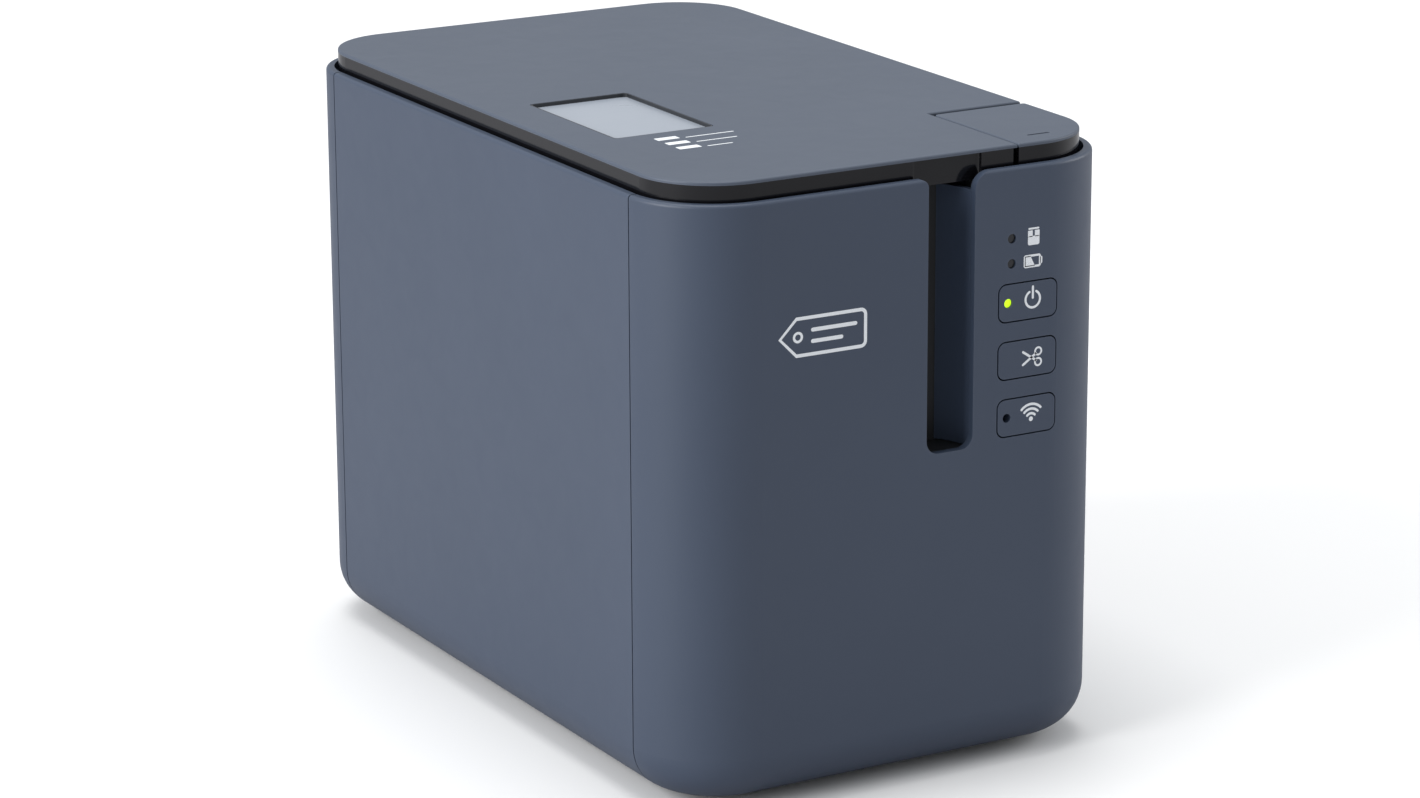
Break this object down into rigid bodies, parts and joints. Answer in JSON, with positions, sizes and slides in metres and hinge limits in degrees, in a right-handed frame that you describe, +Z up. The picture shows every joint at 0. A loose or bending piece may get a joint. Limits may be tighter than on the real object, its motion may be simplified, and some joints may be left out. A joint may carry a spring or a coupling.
{
  "type": "label maker",
  "caption": "Desktop label maker with a hinged lid, window, vertical tape exit groove and front push buttons, with tape cassette, roller drive and cutter inside.",
  "frame": {"origin": "middle of the footprint, on the surface that the feet stand on", "axes": "+Z up, -Y out of the front face with the tape exit and the buttons, +X to the right seen from the front"},
  "size_m": [0.118, 0.192, 0.146],
  "materials": {
    "case_plastic": "fine satin texture, slate grey",
    "base_plastic": "fine texture",
    "gloss_black": "polished",
    "window_plastic": "clear moulded, slightly smoked",
    "foot_rubber": "matt",
    "steel": "zinc plated",
    "blade_steel": "ground",
    "bay_plastic": "fine texture",
    "gear_plastic": "natural acetal",
    "roller_rubber": "ground",
    "motor_case": "drawn can",
    "head_aluminium": "extruded",
    "head_ceramic": "glazed ceramic",
    "cassette_plastic": "light grey moulding",
    "tape_laminate": "laminated film",
    "cassette_paper": "printed paper label",
    "board_laminate": "solder mask",
    "black_parts": "moulded",
    "socket_shell": "plated",
    "lamp_green": "lit lens, emissive",
    "lamp_clear": "dark smoked lens"
  },
  "bodies": {
    "root": {"base_screws": "steel", "base_tray": "base_plastic", "board_components": "black_parts", "cassette_bay": "bay_plastic", "cassette_label": "cassette_paper", "cassette_lower_case": "cassette_plastic", "cassette_upper_case": "cassette_plastic", "cutter_frame": "steel", "cutter_motor": "motor_case", "dc_inlet": "black_parts", "drive_plate": "steel", "feed_motor": "motor_case", "fixed_blade": "blade_steel", "frame_pillars": "steel", "front_shell": "case_plastic", "head_heat_sink": "head_aluminium", "holder_pivot_pin": "steel", "indicator_lamps": "lamp_clear", "label_tape": "tape_laminate", "left_side_panel": "case_plastic", "main_board": "board_laminate", "plate_screws": "steel", "print_head": "head_ceramic", "rear_shell": "case_plastic", "right_side_panel": "case_plastic", "rubber_feet": "foot_rubber", "serial_socket": "black_parts", "status_light_pipes": "lamp_clear", "switch_board": "board_laminate", "tact_switches": "black_parts", "tape_exit_chute": "bay_plastic", "usb_socket": "socket_shell", "wireless_module": "board_laminate"},
    "lid": {"lid_top_plate": "case_plastic", "lid_rim": "gloss_black", "lid_window": "window_plastic", "hinge_pins": "steel", "lid_catch": "steel"},
    "cover_button": {"cover_open_button": "gloss_black", "cover_button_cap": "case_plastic", "cover_button_spring": "steel"},
    "latch": {"latch_hook": "bay_plastic"},
    "power_key": {"power_button": "case_plastic", "power_light_pipe": "lamp_green"},
    "cut_key": {"cut_button": "case_plastic"},
    "wireless_key": {"wireless_button": "case_plastic"},
    "motor_shaft": {"motor_pinion": "gear_plastic"},
    "idler": {"idler_gear": "gear_plastic"},
    "holder": {"roller_holder": "bay_plastic"},
    "platen": {"platen_roller": "roller_rubber", "platen_shaft": "steel"},
    "pinch": {"pinch_roller": "roller_rubber"},
    "feed": {"feed_roller": "roller_rubber"},
    "ribbon_takeup": {"ribbon_spindle": "gear_plastic", "ribbon_takeup_spool": "cassette_plastic"},
    "ribbon_supply": {"ribbon_supply_spool": "cassette_plastic"},
    "tape_roll": {"tape_spool": "tape_laminate"},
    "blade": {"moving_blade": "blade_steel", "blade_lever": "gear_plastic"},
    "cutter_drive": {"cutter_pinion": "gear_plastic"}
  },
  "joints": [
    {"name": "lid_hinge", "type": "hinge", "parent": "root", "child": "lid", "pos_m": [0, 0.082, 0.1425], "axis": [-1, 0, 0], "range_deg": [0, 80]},
    {"name": "cover_button_press", "type": "slide", "parent": "root", "child": "cover_button", "axis": [0, 0, -1], "range_m": [0, 0.0025], "stiffness_N_per_m": 600, "deforming": ["cover_button_spring"]},
    {"name": "latch_rock", "type": "hinge", "parent": "root", "child": "latch", "pos_m": [0.037, -0.0505, 0.126], "axis": [0, 1, 0], "range_deg": [0, 20.5]},
    {"name": "power_press", "type": "slide", "parent": "root", "child": "power_key", "axis": [0, 1, 0], "range_m": [0, 0.00035], "stiffness_N_per_m": 3000},
    {"name": "cut_press", "type": "slide", "parent": "root", "child": "cut_key", "axis": [0, 1, 0], "range_m": [0, 0.00035], "stiffness_N_per_m": 3000},
    {"name": "wireless_press", "type": "slide", "parent": "root", "child": "wireless_key", "axis": [0, 1, 0], "range_m": [0, 0.00035], "stiffness_N_per_m": 3000},
    {"name": "holder_swing", "type": "hinge", "parent": "root", "child": "holder", "pos_m": [0.022, -0.008, 0.1], "axis": [0, 0, 1], "range_deg": [0, 3.4]},
    {"name": "idler_spin", "type": "hinge", "parent": "root", "child": "idler", "pos_m": [-0.0035, -0.04, 0.0747], "axis": [0, 0, 1], "continuous": true},
    {"name": "motor_spin", "type": "hinge", "parent": "root", "child": "motor_shaft", "pos_m": [-0.0035, -0.0244, 0.0747], "axis": [0, 0, 1], "continuous": true},
    {"name": "platen_spin", "type": "hinge", "parent": "holder", "child": "platen", "pos_m": [0.0157, -0.04, 0.105], "axis": [0, 0, 1], "continuous": true},
    {"name": "pinch_spin", "type": "hinge", "parent": "holder", "child": "pinch", "pos_m": [0.0152, -0.054, 0.105], "axis": [0, 0, 1], "continuous": true},
    {"name": "feed_spin", "type": "hinge", "parent": "root", "child": "feed", "pos_m": [0.0068, -0.054, 0.105], "axis": [0, 0, 1], "continuous": true},
    {"name": "ribbon_takeup_spin", "type": "hinge", "parent": "root", "child": "ribbon_takeup", "pos_m": [-0.0251, -0.04, 0.105], "axis": [0, 0, 1], "continuous": true},
    {"name": "ribbon_supply_spin", "type": "hinge", "parent": "root", "child": "ribbon_supply", "pos_m": [-0.039, -0.054, 0.105], "axis": [0, 0, 1], "continuous": true},
    {"name": "tape_roll_spin", "type": "hinge", "parent": "root", "child": "tape_roll", "pos_m": [-0.024, 0.004, 0.105], "axis": [0, 0, 1], "continuous": true},
    {"name": "blade_swing", "type": "hinge", "parent": "root", "child": "blade", "pos_m": [0.013, -0.08, 0.074], "axis": [0, 1, 0], "range_deg": [0, 20]},
    {"name": "cutter_pinion_spin", "type": "hinge", "parent": "root", "child": "cutter_drive", "pos_m": [0.013, -0.08, 0.0524], "axis": [0, 1, 0], "range_deg": [-100, 0]}
  ],
  "couplings": [
    {"joint": "latch_rock", "follows": "cover_button_press", "rad_per_m": 143.12},
    {"joint": "holder_swing", "follows": "lid_hinge", "ratio": 0.0425},
    {"joint": "motor_spin", "follows": "idler_spin", "ratio": -3.3333},
    {"joint": "platen_spin", "follows": "idler_spin", "ratio": -1.6667},
    {"joint": "ribbon_takeup_spin", "follows": "idler_spin", "ratio": -1.25},
    {"joint": "pinch_spin", "follows": "idler_spin", "ratio": -1.875},
    {"joint": "feed_spin", "follows": "idler_spin", "ratio": 1.875},
    {"joint": "tape_roll_spin", "follows": "idler_spin", "ratio": 0.375},
    {"joint": "ribbon_supply_spin", "follows": "idler_spin", "ratio": -1.0714},
    {"joint": "cutter_pinion_spin", "follows": "blade_swing", "ratio": -5}
  ]
}
